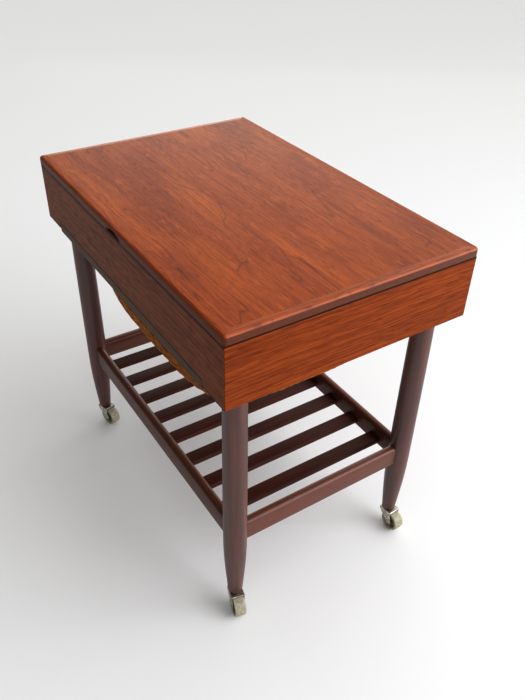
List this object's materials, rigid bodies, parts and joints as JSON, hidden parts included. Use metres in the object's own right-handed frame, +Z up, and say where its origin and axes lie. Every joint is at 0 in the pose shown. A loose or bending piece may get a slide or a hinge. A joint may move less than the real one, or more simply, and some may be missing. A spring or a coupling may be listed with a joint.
{
  "type": "sewing table",
  "caption": "Wooden sewing table with a lift-up lid over compartments, a pull-out wicker basket, a slatted shelf and swivel casters.",
  "frame": {"origin": "on the floor under the centre of the table", "axes": "+X along the length, -Y to the front with the finger pull and the basket, +Z up"},
  "size_m": [0.62, 0.41, 0.59],
  "materials": {
    "teak_veneer": "oiled teak veneer, satin",
    "teak_lipping": "oiled solid teak, satin",
    "dark_teak": "dark stained teak, satin lacquer",
    "plywood": "clear lacquered birch plywood",
    "rattan": "woven natural rattan",
    "brass": "brushed brass",
    "nickel": "worn nickel plate on pressed steel",
    "wheel": "moulded plastic, worn tread"
  },
  "bodies": {
    "case": {"front_panel": "teak_veneer", "back_panel": "teak_veneer", "left_end_panel": "teak_veneer", "right_end_panel": "teak_veneer", "case_floor": "plywood", "corner_block_front_right": "plywood", "corner_block_back_right": "plywood", "corner_block_front_left": "plywood", "corner_block_back_left": "plywood", "long_divider": "plywood", "cross_divider_1": "plywood", "cross_divider_2": "plywood", "cross_divider_3": "plywood", "basket_runner_left": "plywood", "basket_runner_right": "plywood", "hinge_case_leaf": "brass", "hinge_pin": "brass", "leg_front_right": "dark_teak", "leg_back_right": "dark_teak", "leg_front_left": "dark_teak", "leg_back_left": "dark_teak", "shelf_front_rail": "dark_teak", "shelf_back_rail": "dark_teak", "shelf_left_rail": "dark_teak", "shelf_right_rail": "dark_teak", "slat_1": "dark_teak", "slat_2": "dark_teak", "slat_3": "dark_teak", "slat_4": "dark_teak", "slat_5": "dark_teak", "slat_6": "dark_teak", "slat_7": "dark_teak", "slat_8": "dark_teak", "caster_stem_front_right": "nickel", "caster_stem_back_right": "nickel", "caster_stem_front_left": "nickel", "caster_stem_back_left": "nickel"},
    "lid": {"lid_panel": "teak_veneer", "lipping_front": "teak_lipping", "lipping_right": "teak_lipping", "lipping_back": "teak_lipping", "lipping_left": "teak_lipping", "hinge_lid_leaf": "brass"},
    "basket": {"basket_front_rail": "dark_teak", "basket_back_rail": "dark_teak", "basket_left_rail": "dark_teak", "basket_right_rail": "dark_teak", "wicker_basket": "rattan"},
    "swivel_front_right": {"caster_housing_front_right": "nickel", "caster_axle_front_right": "nickel"},
    "wheel_front_right": {"caster_wheel_front_right": "wheel"},
    "swivel_back_right": {"caster_housing_back_right": "nickel", "caster_axle_back_right": "nickel"},
    "wheel_back_right": {"caster_wheel_back_right": "wheel"},
    "swivel_front_left": {"caster_housing_front_left": "nickel", "caster_axle_front_left": "nickel"},
    "wheel_front_left": {"caster_wheel_front_left": "wheel"},
    "swivel_back_left": {"caster_housing_back_left": "nickel", "caster_axle_back_left": "nickel"},
    "wheel_back_left": {"caster_wheel_back_left": "wheel"}
  },
  "joints": [
    {"name": "lid_hinge", "type": "hinge", "parent": "case", "child": "lid", "pos_m": [0, 0.2025, 0.576], "axis": [-1, 0, 0], "range_deg": [0, 95]},
    {"name": "basket_slide", "type": "slide", "parent": "case", "child": "basket", "axis": [0, -1, 0], "range_m": [0, 0.28]},
    {"name": "caster_swivel_front_right", "type": "hinge", "parent": "case", "child": "swivel_front_right", "pos_m": [0.27, -0.166, 0.0425], "axis": [0, 0, 1], "continuous": true},
    {"name": "wheel_roll_front_right", "type": "hinge", "parent": "swivel_front_right", "child": "wheel_front_right", "pos_m": [0.28454, -0.16968, 0.019], "axis": [0.2453, 0.9694, 0], "continuous": true},
    {"name": "caster_swivel_back_right", "type": "hinge", "parent": "case", "child": "swivel_back_right", "pos_m": [0.27, 0.166, 0.0425], "axis": [0, 0, 1], "continuous": true},
    {"name": "wheel_roll_back_right", "type": "hinge", "parent": "swivel_back_right", "child": "wheel_back_right", "pos_m": [0.28499, 0.16645, 0.019], "axis": [-0.0297, 0.9996, 0], "continuous": true},
    {"name": "caster_swivel_front_left", "type": "hinge", "parent": "case", "child": "swivel_front_left", "pos_m": [-0.27, -0.166, 0.0425], "axis": [0, 0, 1], "continuous": true},
    {"name": "wheel_roll_front_left", "type": "hinge", "parent": "swivel_front_left", "child": "wheel_front_left", "pos_m": [-0.25555, -0.16199, 0.019], "axis": [-0.2672, 0.9636, 0], "continuous": true},
    {"name": "caster_swivel_back_left", "type": "hinge", "parent": "case", "child": "swivel_back_left", "pos_m": [-0.27, 0.166, 0.0425], "axis": [0, 0, 1], "continuous": true},
    {"name": "wheel_roll_back_left", "type": "hinge", "parent": "swivel_back_left", "child": "wheel_back_left", "pos_m": [-0.25518, 0.16365, 0.019], "axis": [0.1564, 0.9877, 0], "continuous": true}
  ]
}
